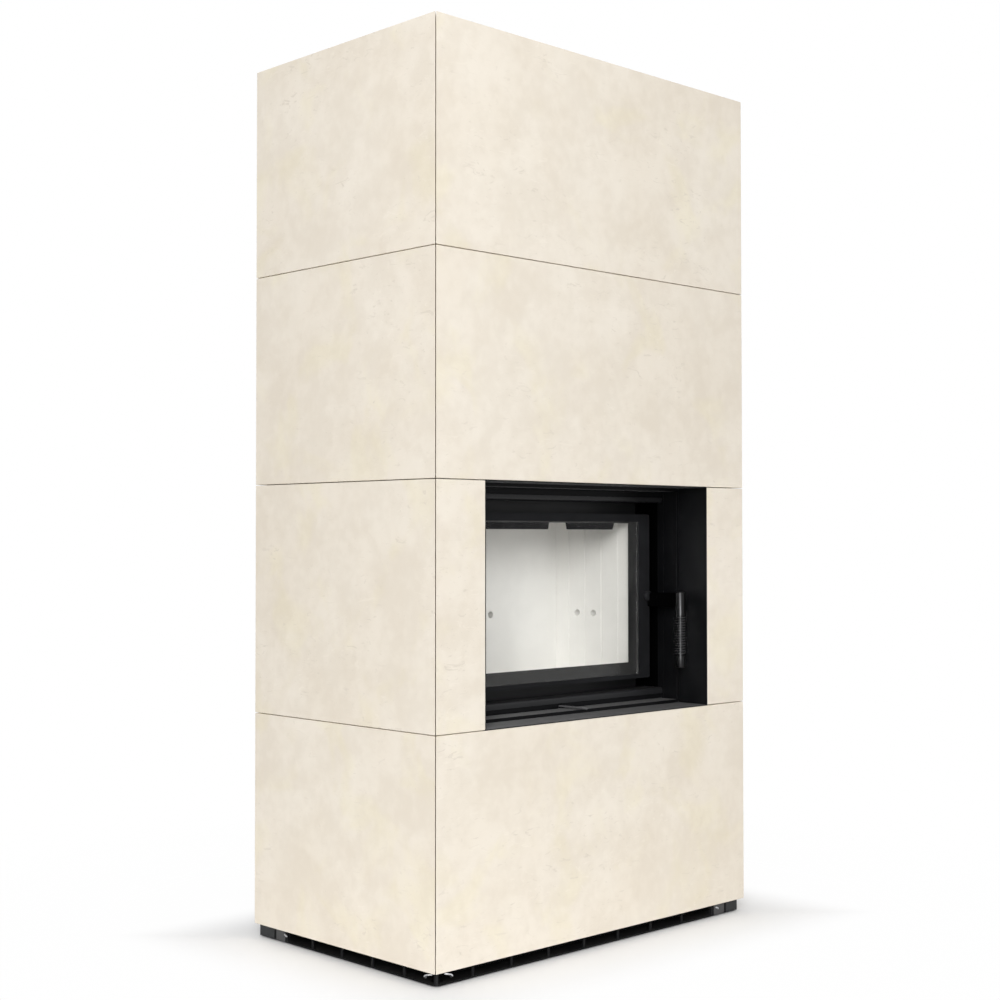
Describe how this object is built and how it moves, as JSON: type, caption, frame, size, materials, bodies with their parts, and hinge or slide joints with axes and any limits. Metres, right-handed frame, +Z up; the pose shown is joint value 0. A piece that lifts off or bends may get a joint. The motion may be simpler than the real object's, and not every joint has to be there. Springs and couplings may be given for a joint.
{
  "type": "tiled stove",
  "caption": "Tall free-standing wood stove: large stone-look tiles round a steel firebox with a glazed hinged door, vertical handle and pull-out air control.",
  "frame": {"origin": "on the floor, at the middle of the casing's footprint", "axes": "+Z up, -Y the front with the door, +X to the right seen from the front"},
  "size_m": [1.1, 0.675, 2.162],
  "materials": {
    "tile": "cast stone tiles, cream, matt and slightly clouded",
    "black_steel": "black heat-proof paint, matt",
    "door_steel": "black heat-proof paint, satin",
    "panel_steel": "grey paint, matt",
    "frame_steel": "bare mill steel",
    "zinc_steel": "zinc plated",
    "gunmetal": "dark nickel, satin",
    "cast_iron": "bare casting, matt",
    "firebox_lining": "pressed refractory board, matt",
    "insulation_board": "calcium silicate board, matt",
    "glass_pane": "clear heat-proof glass with a printed black border",
    "rope": "braided glass rope, dark grey"
  },
  "bodies": {
    "root": {"plinth_frame": "black_steel", "levelling_foot_front_left": "zinc_steel", "levelling_foot_front_right": "zinc_steel", "levelling_foot_rear_left": "zinc_steel", "levelling_foot_rear_right": "zinc_steel", "post_front_left": "frame_steel", "post_front_right": "frame_steel", "post_rear_left": "frame_steel", "post_rear_right": "frame_steel", "sill_rail": "frame_steel", "lintel_rail": "frame_steel", "tile_left_bottom": "tile", "tile_right_bottom": "tile", "tile_front_bottom": "tile", "tile_left_door": "tile", "tile_right_door": "tile", "tile_pier_left": "tile", "tile_pier_right": "tile", "tile_left_upper": "tile", "tile_right_upper": "tile", "tile_front_upper": "tile", "tile_left_top": "tile", "tile_right_top": "tile", "tile_front_top": "tile", "insulation_left": "insulation_board", "insulation_right": "insulation_board", "insulation_rear": "insulation_board", "rear_panel": "panel_steel", "top_plate": "black_steel", "niche_outer_sleeve": "black_steel", "niche_inner_sleeve": "black_steel", "niche_rail_top": "door_steel", "niche_rail_bottom": "door_steel", "front_frame": "black_steel", "firebox_body": "black_steel", "flue_collar": "cast_iron", "flue_pipe": "black_steel", "insert_stand": "frame_steel", "lining_left": "firebox_lining", "lining_right": "firebox_lining", "lining_rear": "firebox_lining", "hearth_slab": "firebox_lining", "baffle": "firebox_lining", "grate": "cast_iron", "hinge_pin_lower": "zinc_steel", "hinge_pin_upper": "zinc_steel", "air_box": "black_steel", "air_duct": "zinc_steel"},
    "door": {"door_frame": "door_steel", "door_glass": "glass_pane", "door_seal": "rope", "glass_clip_left": "door_steel", "glass_clip_right": "door_steel"},
    "latch": {"latch_shaft": "zinc_steel", "latch_tongue": "zinc_steel", "handle_arm": "gunmetal", "handle_grip": "gunmetal", "handle_coil": "gunmetal"},
    "air_control": {"air_control_rod": "gunmetal", "air_damper": "zinc_steel"}
  },
  "joints": [
    {"name": "door_hinge", "type": "hinge", "parent": "root", "child": "door", "pos_m": [-0.336, -0.1495, 0.838], "axis": [0, 0, -1], "range_deg": [0, 95]},
    {"name": "latch_turn", "type": "hinge", "parent": "door", "child": "latch", "pos_m": [0.329, -0.1875, 0.838], "axis": [0, 1, 0], "range_deg": [0, 75]},
    {"name": "air_control_slide", "type": "slide", "parent": "root", "child": "air_control", "axis": [0, -1, 0], "range_m": [0, 0.04]}
  ]
}
